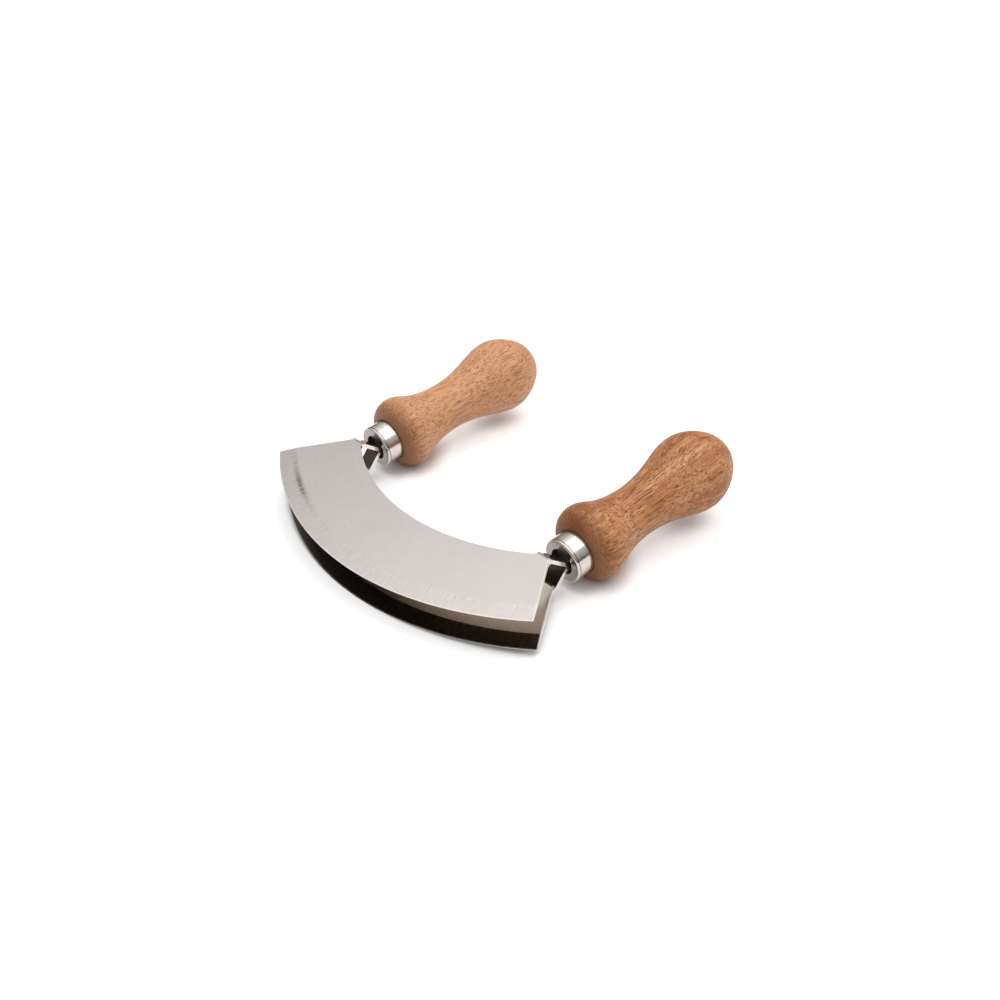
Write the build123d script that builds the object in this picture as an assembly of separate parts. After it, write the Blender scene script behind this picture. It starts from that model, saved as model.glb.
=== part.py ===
from build123d import *
import math
import os

# A double-bladed mezzaluna lying on its side, as it lies on a worktop.
# Lengths are in millimetres and angles in degrees.
# The pieces are first built in the tool's own frame, then laid down to rest.
# In the tool's frame X runs from the left handle to the right one, Y runs from the
# cutting edge to the hands, Z is square to the blades, and both blade arcs are
# struck from the point zero.

# Blades: two stamped crescents, their edges ground on both faces
edge_radius = 134.2
blade_width = 34.8
blade_half_angle = 36.6
blade_thickness = 1.5
blade_gap = 12.7
bevel_width = 7.6
edge_flat = 0.2

# Tangs: a strip at each end of each blade, bent inwards to meet its twin
tang_width = 7.4
tang_fillet = 1.8
tang_flat = 1.4
tang_inset = 1.07
tang_bend_run = 7.0
tang_bend_radius = 2.2
tang_depth_in_handle = 42.0
tang_tip_round = 2.5

# Handles: turned wood, each on the centre line of its tangs
handle_length = 82.0
flare_radius = 15.7
flare_distance = 7.6
shoulder_rise = 6.2
fall_radius = 13.7
fall_distance = 14.4
neck_radius = 10.6
neck_distance = 29.5
swell_radius = 13.3
swell_distance = 49.2
bulb_radius = 16.4
bulb_distance = 65.4
cap_radius = 12.3
cap_distance = 75.4
bore_radius = 5.0
bore_depth = 46.0
bore_tip_angle = 59.0

# Ferrules: drawn metal caps over the handles' tenons
ferrule_radius = 9.15
ferrule_length = 7.9
ferrule_wall = 0.9
ferrule_corner_radius = 0.9
ferrule_inner_radius = 0.3
ferrule_hole_radius = 5.5

# Clearances
tenon_clearance = 0.05
tenon_end_clearance = 0.4
resin_recess = 0.6
cut_overrun = 1.0
match_tolerance = 0.01

# Places that follow from the sizes
quarter_turn = 90
half_angle = math.radians(blade_half_angle)
blade_height = blade_gap / 2 + blade_thickness / 2
back_radius = edge_radius - blade_width
bevel_radius = edge_radius - bevel_width
handle_offset = back_radius * math.sin(half_angle) - tang_inset
tang_sides = (handle_offset - tang_width / 2, handle_offset + tang_width / 2)


def blade_top(x):
    """How far up a blade reaches at x, below its back arc and inside its end edge."""
    return min(-math.sqrt(back_radius**2 - x**2), -x / math.tan(half_angle))


tang_leaves = [blade_top(x) for x in tang_sides]
tang_root = min(tang_leaves) - tang_fillet
tang_bend_start = max(tang_leaves) + tang_flat
tang_meet = tang_bend_start + tang_bend_run
ferrule_front = tang_meet + blade_thickness / 2
handle_start = ferrule_front + ferrule_length
shoulder_radius = flare_radius - shoulder_rise
ferrule_bore_radius = ferrule_radius - ferrule_wall
tenon_radius = ferrule_bore_radius - tenon_clearance
tenon_length = ferrule_length - ferrule_wall - tenon_end_clearance
tang_tip = handle_start + tang_depth_in_handle - tenon_length


def blade_blank():
    """The flat outline of a blade with its tangs, seen square to the blade."""
    ring = Circle(edge_radius) - Circle(back_radius)
    side_length = (edge_radius + cut_overrun) / math.cos(half_angle)
    corner_x = side_length * math.sin(half_angle)
    corner_y = -side_length * math.cos(half_angle)
    wedge = make_face(Polyline((0, 0), (-corner_x, corner_y), (corner_x, corner_y), close=True))
    outline = ring & wedge
    tang_length = tang_tip - tang_root
    tang_middle = (tang_tip + tang_root) / 2
    for side in (-1, 1):
        outline += Pos(side * handle_offset, tang_middle) * Rectangle(tang_width, tang_length)

    def on_side(corner):
        return min(abs(abs(corner.X) - x) for x in tang_sides) < match_tolerance

    roots = [v for v in outline.vertices() if on_side(v) and v.Y < ferrule_front]
    outline = fillet(roots, tang_fillet)
    tips = [v for v in outline.vertices() if v.Y > tang_tip - match_tolerance]
    return fillet(tips, tang_tip_round)


def bent_sheet():
    """A sheet with the two bends of the tangs, as wide as the tool."""
    front = -edge_radius - cut_overrun
    path = FilletPolyline(
        (front, blade_height),
        (tang_bend_start, blade_height),
        (tang_meet, blade_thickness / 2),
        (tang_tip + cut_overrun, blade_thickness / 2),
        radius=tang_bend_radius,
    )
    section = Plane.YZ * trace(path, blade_thickness)
    return extrude(section, amount=edge_radius, both=True)


def edge_grind():
    """The ring of steel that grinding takes from both faces to make the edge."""
    outside = edge_radius + cut_overrun
    above = blade_thickness / 2 + cut_overrun
    wedge = make_face(
        Polyline(
            (bevel_radius, blade_thickness / 2),
            (edge_radius, edge_flat / 2),
            (outside, edge_flat / 2),
            (outside, above),
            (bevel_radius, above),
            close=True,
        )
    )
    upper = revolve(Plane.XZ * wedge, Axis.Z)
    both = upper + mirror(upper, Plane.XY)
    return Pos(0, 0, blade_height) * both


def make_blade():
    """The upper blade: blank, bent and ground."""
    sheet = bent_sheet()
    depth = blade_height + blade_thickness
    blank = extrude(blade_blank(), amount=depth, both=True)
    return (sheet & blank) - edge_grind()


def turned(profile, side):
    """Spins a profile drawn as distance and radius about a handle's centre line."""
    solid = revolve(profile, Axis.Y)
    return Pos(side * handle_offset, handle_start) * solid


def handle_profile():
    """Half the section of a handle: radius along X, distance from its shoulder along Y."""
    shoulder = EllipticalCenterArc(
        (shoulder_radius, flare_distance),
        shoulder_rise,
        flare_distance,
        start_angle=-quarter_turn,
        arc_size=quarter_turn,
    )
    waist = Spline(
        (flare_radius, flare_distance),
        (fall_radius, fall_distance),
        (neck_radius, neck_distance),
        (swell_radius, swell_distance),
        (bulb_radius, bulb_distance),
        (cap_radius, cap_distance),
        (0, handle_length),
        tangents=((0, 1), (-1, 0)),
    )
    spigot = Polyline(
        (0, handle_length),
        (0, -tenon_length),
        (tenon_radius, -tenon_length),
        (tenon_radius, 0),
        (shoulder_radius, 0),
    )
    return make_face([shoulder, waist, spigot])


def bore_profile():
    """Half the section of the drilled hole that takes the tangs."""
    mouth = -tenon_length - cut_overrun
    floor = bore_depth - tenon_length
    tip = floor + bore_radius / math.tan(math.radians(bore_tip_angle))
    return make_face(
        Polyline((0, mouth), (bore_radius, mouth), (bore_radius, floor), (0, tip), close=True)
    )


def ferrule_profile():
    """Half the section of a ferrule: a cap with a round hole in its front."""
    front = -ferrule_length
    inside = front + ferrule_wall
    outline = make_face(
        Polyline(
            (ferrule_hole_radius, front),
            (ferrule_radius, front),
            (ferrule_radius, 0),
            (ferrule_bore_radius, 0),
            (ferrule_bore_radius, inside),
            (ferrule_hole_radius, inside),
            close=True,
        )
    )
    corners = outline.vertices()
    outer = [v for v in corners if v.X > ferrule_bore_radius and v.Y < inside]
    outline = fillet(outer, ferrule_corner_radius)
    corners = outline.vertices()
    inner = [
        v
        for v in corners
        if abs(v.X - ferrule_bore_radius) < match_tolerance and abs(v.Y - inside) < match_tolerance
    ]
    return fillet(inner, ferrule_inner_radius)


def resin_profile():
    """Half the section of the resin that fills the bore round the tangs."""
    mouth = -tenon_length + resin_recess
    floor = bore_depth - tenon_length
    tip = floor + bore_radius / math.tan(math.radians(bore_tip_angle))
    return make_face(
        Polyline((0, mouth), (bore_radius, mouth), (bore_radius, floor), (0, tip), close=True)
    )


def resting_tilt():
    """The turn about X that lets the lower edge and both flares touch the table."""

    def edge_drop(tilt):
        return edge_radius * math.sin(tilt) + (blade_height + edge_flat / 2) * math.cos(tilt)

    def flare_drop(tilt):
        centre_y = handle_start + flare_distance
        arc = math.hypot(flare_distance * math.sin(tilt), shoulder_rise * math.cos(tilt))
        return -centre_y * math.sin(tilt) + shoulder_radius * math.cos(tilt) + arc

    low = 0.0
    high = math.pi / 4
    for _ in range(60):
        middle = (low + high) / 2
        if edge_drop(middle) < flare_drop(middle):
            low = middle
        else:
            high = middle
    return math.degrees(low)


upper_blade = make_blade()
lower_blade = mirror(upper_blade, Plane.XY)
pieces = {"upper_blade": upper_blade, "lower_blade": lower_blade}
for name, side in (("left", -1), ("right", 1)):
    pieces[name + "_handle"] = turned(handle_profile(), side) - turned(bore_profile(), side)
    pieces[name + "_ferrule"] = turned(ferrule_profile(), side)
    pieces[name + "_tang_resin"] = turned(resin_profile(), side) - upper_blade - lower_blade

# Lay the tool down: the origin is under the middle of its outline, on the table.
laid = {name: Rot(X=resting_tilt()) * piece for name, piece in pieces.items()}
box = Compound(list(laid.values())).bounding_box()
shift = Pos(-(box.min.X + box.max.X) / 2, -(box.min.Y + box.max.Y) / 2, -box.min.Z)

os.makedirs("parts", exist_ok=True)
for name, piece in laid.items():
    export_step(shift * piece, f"parts/{name}.step")
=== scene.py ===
import bpy
import math
from mathutils import Matrix, Vector

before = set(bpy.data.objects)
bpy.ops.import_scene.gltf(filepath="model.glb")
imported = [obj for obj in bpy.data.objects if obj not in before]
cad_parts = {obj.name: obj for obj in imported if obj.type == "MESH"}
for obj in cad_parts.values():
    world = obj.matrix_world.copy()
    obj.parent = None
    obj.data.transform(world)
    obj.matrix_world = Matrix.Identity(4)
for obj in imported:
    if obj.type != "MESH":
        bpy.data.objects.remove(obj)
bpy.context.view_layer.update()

# Camera, from a fit to the outlines in the photograph (degrees, metres, millimetres of lens)
CAMERA_AZIMUTH = 50.117
CAMERA_ELEVATION = 33.492
CAMERA_ROLL = -2.603
CAMERA_DISTANCE = 0.52494
CAMERA_TARGET = (0.011827, -0.004391, 0.015058)
CAMERA_LENS = 47.112
CAMERA_SENSOR = 36.0
CAMERA_CLIP = (0.01, 20.0)

# The tool's own frame: its origin is the centre of the blades' arcs, halfway between the blades,
# and it is tilted about X as the tool lies on the table
TILT = math.radians(6.4493)
ARC_CENTRE = (0.0, 0.059105, 0.022228)

# Places in the tool's own frame, in metres
EDGE_RADIUS = 0.1342       # cutting edge, from the arcs' centre
GRIND_RADIUS = 0.1266      # where the ground band of the edge starts
HALF_ANGLE = math.radians(36.6)
INNER_FACE = 0.00635       # from the middle plane to the faces in the gap
HANDLE_START = -0.0661     # where the wood meets its ferrule
FLARE_AT = 0.0076          # from there to the widest part of the flare
HANDLE_AXIS_X = 0.0582
SEAM_RADIUS = 0.0093       # just outside the ferrule
TANG_BEND = -0.0817
FERRULE_FRONT = -0.074

# Wood: growth rings about a pith beside and below each handle, in metres
PITH_BESIDE = 0.021
PITH_BELOW = 0.027
RING_WANDER = 0.012
RING_HALF_SPACING = 0.0008
LEFT_LIGHT_BLEND_WIDTH = 0.01    # left of the middle, where the painted light on the left handle sets in
SEAM_BORDER = 0.0004
SEAM_FADE = (0.002, 0.004)

# Steel: the borders between finishes and the place of the painted shade along the crease of the
# ground band, in metres
GRIND_BORDER = 0.0003
CREASE_SHADE_OFFSET = 0.0006
CREASE_SHADE_HALF_WIDTH = 0.002
CREASE_SHADE_ANGLE = math.radians(-24.5)
CREASE_SHADE_HALF_ANGLE = math.radians(11.0)
EDGE_HIGHLIGHT_BORDER = (0.0007, 0.0003)
END_HIGHLIGHT_BORDER = (0.0002, 0.0006)
TANG_BORDER = 0.0006
END_HIGHLIGHT_ROUGHNESS = 0.6

# Ferrule: a painted reflected dark band just behind its front, in metres
DARK_BAND_OFFSET = 0.0012
DARK_BAND_HALF_WIDTH = 0.00035

# Studio: the floor's own glow, how far its contact shadow reaches, and the brightness of
# the surroundings by the height of the direction, 0 at the horizon and 1 overhead
FLOOR_HALF = 3.0
FLOOR_GLOW = 0.45
SHADOW_REACH = 0.009
STUDIO = [(0.0, 0.08), (0.15, 0.20), (0.35, 0.48), (0.60, 0.62), (0.75, 1.12), (1.0, 1.12)]
KEY_PLACE = (0.2, 0.45, 1.2)
KEY_SIZE = 1.4
KEY_POWER = 4.0
WHITE = (1.0, 1.0, 1.0, 1.0)


def set_camera():
    az = math.radians(CAMERA_AZIMUTH)
    el = math.radians(CAMERA_ELEVATION)
    roll = math.radians(CAMERA_ROLL)
    back = Vector((math.sin(az) * math.cos(el), -math.cos(az) * math.cos(el), math.sin(el)))
    right = Vector((math.cos(az), math.sin(az), 0.0))
    up = back.cross(right)
    turned_right = right * math.cos(roll) + up * math.sin(roll)
    turned_up = up * math.cos(roll) - right * math.sin(roll)
    data = bpy.data.cameras.new("camera")
    data.lens = CAMERA_LENS
    data.sensor_width = CAMERA_SENSOR
    data.clip_start, data.clip_end = CAMERA_CLIP
    cam = bpy.data.objects.new("camera", data)
    bpy.context.scene.collection.objects.link(cam)
    place = Vector(CAMERA_TARGET) + back * CAMERA_DISTANCE
    turn = Matrix((turned_right, turned_up, back)).transposed()
    cam.matrix_world = Matrix.Translation(place) @ turn.to_4x4()
    bpy.context.scene.camera = cam


set_camera()


class Nodes:
    """Short calls for building one material's node tree."""

    def __init__(self, name):
        self.mat = bpy.data.materials.new(name)
        self.mat.use_nodes = True
        self.tree = self.mat.node_tree
        self.bsdf = self.tree.nodes["Principled BSDF"]
        self.out = self.tree.nodes["Material Output"]

    def add(self, kind, **values):
        node = self.tree.nodes.new(kind)
        for key, value in values.items():
            setattr(node, key, value)
        return node

    def link(self, a, b):
        self.tree.links.new(a, b)

    def put(self, socket, value):
        if isinstance(value, bpy.types.NodeSocket):
            self.link(value, socket)
        else:
            socket.default_value = value

    def math(self, op, a, b=0.0, clamp=False):
        node = self.add("ShaderNodeMath", operation=op, use_clamp=clamp)
        self.put(node.inputs[0], a)
        self.put(node.inputs[1], b)
        return node.outputs[0]

    def parts(self, vector):
        node = self.add("ShaderNodeSeparateXYZ")
        self.link(vector, node.inputs[0])
        return node.outputs[0], node.outputs[1], node.outputs[2]

    def join(self, x, y, z=0.0):
        node = self.add("ShaderNodeCombineXYZ")
        for socket, value in zip(node.inputs, (x, y, z)):
            self.put(socket, value)
        return node.outputs[0]

    def lerp(self, fac, a, b):
        """The number a where fac is 0, and b where it is 1."""
        return self.math("ADD", a, self.math("MULTIPLY", fac, self.math("SUBTRACT", b, a)))

    def length(self, a, b):
        squares = self.math("ADD", self.math("MULTIPLY", a, a), self.math("MULTIPLY", b, b))
        return self.math("SQRT", squares)

    def noise(self, vector, scale, detail=4.0, roughness=0.55, distortion=0.0):
        """Noise from 0 to 1 in cells of 1 / scale metres, one scale for each direction."""
        node = self.add("ShaderNodeTexNoise")
        self.link(self.scaled(vector, scale), node.inputs["Vector"])
        node.inputs["Scale"].default_value = 1.0
        node.inputs["Detail"].default_value = detail
        node.inputs["Roughness"].default_value = roughness
        node.inputs["Distortion"].default_value = distortion
        return node.outputs["Fac"]

    def ramp(self, fac, stops):
        node = self.add("ShaderNodeValToRGB")
        elements = node.color_ramp.elements
        while len(elements) < len(stops):
            elements.new(0.5)
        for element, (place, colour) in zip(elements, stops):
            element.position = place
            element.color = (*colour, 1.0)
        self.link(fac, node.inputs["Fac"])
        return node.outputs["Color"]

    def mix(self, fac, a, b):
        """The colour a where fac is 0, and b where it is 1."""
        node = self.add("ShaderNodeMix", data_type="RGBA")
        self.put(node.inputs["Factor"], fac)
        for socket, value in ((node.inputs["A"], a), (node.inputs["B"], b)):
            self.put(socket, (*value, 1.0) if isinstance(value, tuple) else value)
        return node.outputs["Result"]

    def span(self, value, low, high, to_low=0.0, to_high=1.0):
        """value from low to high, eased and moved to the span from to_low to to_high."""
        node = self.add("ShaderNodeMapRange", interpolation_type="SMOOTHSTEP")
        self.put(node.inputs["Value"], value)
        limits = {"From Min": low, "From Max": high, "To Min": to_low, "To Max": to_high}
        for socket, limit in limits.items():
            node.inputs[socket].default_value = limit
        return node.outputs["Result"]

    def band(self, value, middle, half_width):
        """1 at middle, fading to 0 at half_width either side."""
        away = self.math("ABSOLUTE", self.math("SUBTRACT", value, middle))
        return self.span(away, 0.0, half_width, 1.0, 0.0)

    def turned(self, vector):
        node = self.add("ShaderNodeVectorRotate", rotation_type="X_AXIS", invert=True)
        self.link(vector, node.inputs["Vector"])
        node.inputs["Angle"].default_value = TILT
        return node.outputs["Vector"]

    def tool_place(self):
        """The point on the surface, in the tool's own frame."""
        coords = self.add("ShaderNodeTexCoord")
        move = self.add("ShaderNodeVectorMath", operation="SUBTRACT")
        self.link(coords.outputs["Object"], move.inputs[0])
        move.inputs[1].default_value = ARC_CENTRE
        return self.turned(move.outputs[0])

    def tool_normal(self):
        """The direction that the surface faces, in the tool's own frame."""
        return self.turned(self.add("ShaderNodeTexCoord").outputs["Normal"])

    def scaled(self, vector, scale):
        node = self.add("ShaderNodeVectorMath", operation="MULTIPLY")
        self.link(vector, node.inputs[0])
        node.inputs[1].default_value = scale
        return node.outputs[0]

    def bump(self, height, distance, strength):
        node = self.add("ShaderNodeBump")
        node.inputs["Strength"].default_value = strength
        node.inputs["Distance"].default_value = distance
        self.link(height, node.inputs["Height"])
        self.link(node.outputs["Normal"], self.bsdf.inputs["Normal"])


def rgb(r, g, b):
    """An sRGB colour of 0 to 255 as linear values."""
    def lin(c):
        c /= 255.0
        return c / 12.92 if c <= 0.04045 else ((c + 0.055) / 1.055) ** 2.4
    return (lin(r), lin(g), lin(b))


def wood_material():
    n = Nodes("handle_wood")
    place = n.tool_place()
    x, y, z = n.parts(place)

    # broad figure, much longer than wide
    figure = n.noise(place, (120.0, 14.0, 120.0), detail=3.0, distortion=0.9)
    base = n.ramp(figure, [(0.30, rgb(164, 98, 54)), (0.45, rgb(193, 128, 80)),
                           (0.58, rgb(211, 147, 99)), (0.72, rgb(227, 168, 122))])
    # growth rings about a pith that lies outside the handle
    sideways = n.math("SUBTRACT", n.math("ABSOLUTE", x), HANDLE_AXIS_X - PITH_BESIDE)
    upward = n.math("ADD", z, PITH_BELOW)
    wander = n.math("MULTIPLY", n.noise(place, (60.0, 16.0, 60.0), detail=2.0), RING_WANDER)
    from_pith = n.math("ADD", n.length(sideways, upward), wander)
    ring = n.math("PINGPONG", from_pith, RING_HALF_SPACING)
    late = n.span(ring, 0.5 * RING_HALF_SPACING, RING_HALF_SPACING)
    base = n.mix(n.math("MULTIPLY", late, 0.28), base, rgb(160, 96, 54))

    # painted light: the left handle is painted paler, as if lit more from the left
    base = n.mix(n.span(x, 0.0, -LEFT_LIGHT_BLEND_WIDTH, 0.0, 0.55), base, rgb(242, 182, 136))

    # fine dark and light streaks and short pores, all along the handle
    dark = n.noise(place, (1900.0, 75.0, 1900.0), detail=2.0, roughness=0.7)
    base = n.mix(n.span(dark, 0.52, 0.37, 0.0, 0.72), base, rgb(134, 76, 40))
    light = n.noise(place, (1700.0, 60.0, 1700.0), detail=2.0, roughness=0.7)
    base = n.mix(n.span(light, 0.52, 0.68, 0.0, 0.66), base, rgb(244, 184, 130))
    pore = n.noise(place, (2300.0, 170.0, 2300.0), detail=1.0, roughness=0.5)
    pores = n.span(pore, 0.43, 0.32)
    base = n.mix(n.math("MULTIPLY", pores, 0.75), base, rgb(98, 50, 24))
    # painted light: a last pale tint over the left handle
    base = n.mix(n.span(x, 0.0, -LEFT_LIGHT_BLEND_WIDTH, 0.0, 0.18), base, rgb(252, 192, 146))

    # painted shade darkens the shoulder that faces the blades
    shoulder_shade = n.span(y, HANDLE_START, HANDLE_START + 1.3 * FLARE_AT, 1.0, 0.0)
    base = n.mix(n.math("MULTIPLY", shoulder_shade, 0.62), base, rgb(108, 54, 16))
    # painted contact shadow: a dark line round the seam at the ferrule
    out = n.length(n.math("SUBTRACT", n.math("ABSOLUTE", x), HANDLE_AXIS_X), z)
    at_start = n.span(y, HANDLE_START + SEAM_FADE[0], HANDLE_START + SEAM_FADE[1], 0.9, 0.0)
    by_ferrule = n.span(out, SEAM_RADIUS, SEAM_RADIUS + SEAM_BORDER, 1.0, 0.0)
    seam_shadow = n.math("MULTIPLY", at_start, by_ferrule)
    base = n.mix(seam_shadow, base, rgb(40, 20, 9))

    n.link(base, n.bsdf.inputs["Base Color"])
    n.link(n.span(dark, 0.30, 0.65, 0.56, 0.40), n.bsdf.inputs["Roughness"])
    n.bsdf.inputs["Specular IOR Level"].default_value = 0.32
    n.bump(n.math("SUBTRACT", n.math("MULTIPLY", dark, 0.5), pores), 0.00006, 0.6)
    return n.mat


def steel_material():
    n = Nodes("blade_steel")
    place = n.tool_place()
    x, y, z = n.parts(place)
    facing_z = n.parts(n.tool_normal())[2]
    radius = n.length(x, y)
    angle = n.math("ARCTAN2", x, n.math("MULTIPLY", y, -1.0))
    polar = n.join(angle, radius)

    # satin sheet: a soft polish that follows the arc, hardly visible
    polish = n.noise(polar, (26.0, 1500.0, 1.0), detail=3.0, roughness=0.6)
    cloud = n.noise(polar, (9.0, 60.0, 1.0), detail=2.0)
    sheet = n.mix(n.span(polish, 0.3, 0.7), rgb(225, 217, 213), rgb(229, 221, 217))
    sheet = n.mix(n.span(cloud, 0.35, 0.65, 0.0, 0.30), sheet, rgb(219, 211, 207))

    # ground edge: short marks straight across it
    marks = n.noise(polar, (620.0, 130.0, 1.0), detail=3.0, roughness=0.7)
    ground = n.mix(n.span(marks, 0.34, 0.66), rgb(205, 198, 192), rgb(226, 221, 215))
    on_ground = n.span(radius, GRIND_RADIUS - GRIND_BORDER, GRIND_RADIUS + GRIND_BORDER)
    base = n.mix(on_ground, sheet, ground)

    # painted shade: a ragged dark line along the crease where the ground band starts, towards the
    # left end
    along_crease = n.band(radius, GRIND_RADIUS + CREASE_SHADE_OFFSET, CREASE_SHADE_HALF_WIDTH)
    patch = n.band(angle, CREASE_SHADE_ANGLE, CREASE_SHADE_HALF_ANGLE)
    strokes = n.span(n.noise(polar, (900.0, 200.0, 1.0), detail=2.0), 0.35, 0.62)
    crease_shade = n.math("MULTIPLY", n.math("MULTIPLY", along_crease, patch), strokes)
    base = n.mix(n.math("MULTIPLY", crease_shade, 0.95), base, rgb(80, 72, 68))

    # painted shade: the faces that look into the gap are darkened, most of all where they
    # are ground and where the tangs close up
    outward = n.math("MULTIPLY", facing_z, z)
    gap_shade = n.span(outward, -0.7 * INNER_FACE, -0.3 * INNER_FACE, 1.0, 0.0)
    shaded_inner_ground = n.mix(n.span(marks, 0.34, 0.66), rgb(62, 54, 48), rgb(96, 86, 78))
    base = n.mix(gap_shade, base, n.mix(on_ground, rgb(194, 184, 173), shaded_inner_ground))
    tang_gap_shade = n.span(outward, -0.0002, 0.0, 1.0, 0.0)
    on_tang = n.span(y, TANG_BEND, TANG_BEND + TANG_BORDER)
    base = n.mix(n.math("MULTIPLY", on_tang, tang_gap_shade), base, rgb(96, 84, 74))

    # painted highlights: a bright line along the cutting edge, and bright lines along the cut
    # ends
    edge_highlight = n.span(radius, EDGE_RADIUS - EDGE_HIGHLIGHT_BORDER[0], EDGE_RADIUS - EDGE_HIGHLIGHT_BORDER[1], 0.0, 0.6)
    angle_left = n.math("SUBTRACT", HALF_ANGLE, n.math("ABSOLUTE", angle))
    near_end = n.span(n.math("MULTIPLY", angle_left, radius), *END_HIGHLIGHT_BORDER, 1.0, 0.0)
    end_highlight = n.math("SUBTRACT", near_end, on_tang, clamp=True)
    base = n.mix(n.math("MAXIMUM", edge_highlight, end_highlight), base, rgb(238, 234, 230))

    n.bsdf.inputs["Metallic"].default_value = 1.0
    n.link(base, n.bsdf.inputs["Base Color"])
    flat_rough = n.span(polish, 0.3, 0.7, 0.21, 0.225)
    ground_rough = n.span(marks, 0.3, 0.7, 0.26, 0.34)
    rough = n.lerp(on_ground, flat_rough, ground_rough)
    n.link(n.lerp(end_highlight, rough, END_HIGHLIGHT_ROUGHNESS), n.bsdf.inputs["Roughness"])
    n.bump(n.math("MULTIPLY", marks, on_ground), 0.00002, 0.5)
    return n.mat


def nickel_material():
    n = Nodes("ferrule_metal")
    place = n.tool_place()
    y = n.parts(place)[1]
    facing_y = n.parts(n.tool_normal())[1]
    haze = n.noise(place, (240.0, 240.0, 240.0), detail=3.0)
    lathe = n.noise(place, (40.0, 2600.0, 40.0), detail=2.0, roughness=0.6)
    base = n.mix(n.span(haze, 0.3, 0.7), rgb(202, 194, 187), rgb(214, 207, 200))
    # painted shade darkens the front
    front_shade = n.span(facing_y, -0.97, -0.85, 0.75, 0.0)
    base = n.mix(front_shade, base, rgb(138, 129, 122))
    # painted reflection: a fine dark band runs round just behind the front
    dark_band = n.band(y, FERRULE_FRONT + DARK_BAND_OFFSET, DARK_BAND_HALF_WIDTH)
    base = n.mix(n.math("MULTIPLY", dark_band, 0.9), base, rgb(46, 40, 37))
    n.bsdf.inputs["Metallic"].default_value = 1.0
    n.link(base, n.bsdf.inputs["Base Color"])
    hazy = n.span(haze, 0.3, 0.7, 0.11, 0.16)
    turned = n.span(lathe, 0.35, 0.7, 0.0, 0.06)
    n.link(n.math("ADD", hazy, turned), n.bsdf.inputs["Roughness"])
    n.bump(lathe, 0.000004, 0.5)
    return n.mat


def resin_material():
    n = Nodes("tang_resin")
    lumps = n.noise(n.tool_place(), (700.0, 700.0, 700.0), detail=2.0)
    colour = n.ramp(lumps, [(0.3, rgb(20, 17, 15)), (0.7, rgb(44, 38, 33))])
    n.link(colour, n.bsdf.inputs["Base Color"])
    n.link(n.span(lumps, 0.3, 0.7, 0.35, 0.65), n.bsdf.inputs["Roughness"])
    n.bump(lumps, 0.0002, 0.5)
    return n.mat


def give(obj, material):
    obj.data.materials.clear()
    obj.data.materials.append(material)


finishes = {
    "blade": steel_material(),
    "handle": wood_material(),
    "ferrule": nickel_material(),
    "resin": resin_material(),
}
for name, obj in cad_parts.items():
    give(obj, finishes[name.split("_")[-1]])


def make_floor():
    half = FLOOR_HALF
    mesh = bpy.data.meshes.new("floor")
    corners = [(-half, -half, 0.0), (half, -half, 0.0), (half, half, 0.0), (-half, half, 0.0)]
    mesh.from_pydata(corners, [], [(0, 1, 2, 3)])
    floor = bpy.data.objects.new("floor", mesh)
    bpy.context.scene.collection.objects.link(floor)
    n = Nodes("floor")
    n.bsdf.inputs["Base Color"].default_value = (0.8, 0.8, 0.8, 1.0)
    n.bsdf.inputs["Roughness"].default_value = 0.9
    n.bsdf.inputs["Specular IOR Level"].default_value = 0.0
    path = n.add("ShaderNodeLightPath")
    glow = n.add("ShaderNodeEmission")
    glow.inputs["Color"].default_value = WHITE
    seen = n.math("ADD", path.outputs["Is Camera Ray"], path.outputs["Is Glossy Ray"], clamp=True)
    open_sky = n.add("ShaderNodeAmbientOcclusion", samples=8)
    open_sky.inputs["Distance"].default_value = SHADOW_REACH
    lit = n.span(open_sky.outputs["AO"], 0.3, 0.95, 0.0, FLOOR_GLOW)
    n.link(n.math("MULTIPLY", seen, lit), glow.inputs["Strength"])
    both = n.add("ShaderNodeAddShader")
    n.link(n.bsdf.outputs[0], both.inputs[0])
    n.link(glow.outputs[0], both.inputs[1])
    n.link(both.outputs[0], n.out.inputs["Surface"])
    mesh.materials.append(n.mat)


def make_key_light():
    """A round softbox that points at the tool."""
    data = bpy.data.lights.new("key", "AREA")
    data.shape = "DISK"
    data.size = KEY_SIZE
    data.energy = KEY_POWER
    lamp = bpy.data.objects.new("key", data)
    bpy.context.scene.collection.objects.link(lamp)
    lamp.location = KEY_PLACE
    lamp.rotation_euler = (-Vector(KEY_PLACE)).to_track_quat("-Z", "Y").to_euler()


def make_world():
    """Soft surroundings that the camera itself sees as plain white."""
    world = bpy.data.worlds.new("world")
    bpy.context.scene.world = world
    world.use_nodes = True
    tree = world.node_tree
    coords = tree.nodes.new("ShaderNodeTexCoord")
    split = tree.nodes.new("ShaderNodeSeparateXYZ")
    tree.links.new(coords.outputs["Generated"], split.inputs[0])
    ramp = tree.nodes.new("ShaderNodeValToRGB")
    elements = ramp.color_ramp.elements
    while len(elements) < len(STUDIO):
        elements.new(0.5)
    for element, (height, level) in zip(elements, STUDIO):
        element.position = height
        element.color = (level, level, level, 1.0)
    tree.links.new(split.outputs["Z"], ramp.inputs["Fac"])
    studio = tree.nodes["Background"]
    tree.links.new(ramp.outputs["Color"], studio.inputs["Color"])
    white = tree.nodes.new("ShaderNodeBackground")
    white.inputs["Color"].default_value = WHITE
    path = tree.nodes.new("ShaderNodeLightPath")
    mix = tree.nodes.new("ShaderNodeMixShader")
    tree.links.new(path.outputs["Is Camera Ray"], mix.inputs["Fac"])
    tree.links.new(studio.outputs[0], mix.inputs[1])
    tree.links.new(white.outputs[0], mix.inputs[2])
    tree.links.new(mix.outputs[0], tree.nodes["World Output"].inputs["Surface"])


make_floor()
make_world()
make_key_light()
bpy.context.scene.view_settings.view_transform = "Standard"
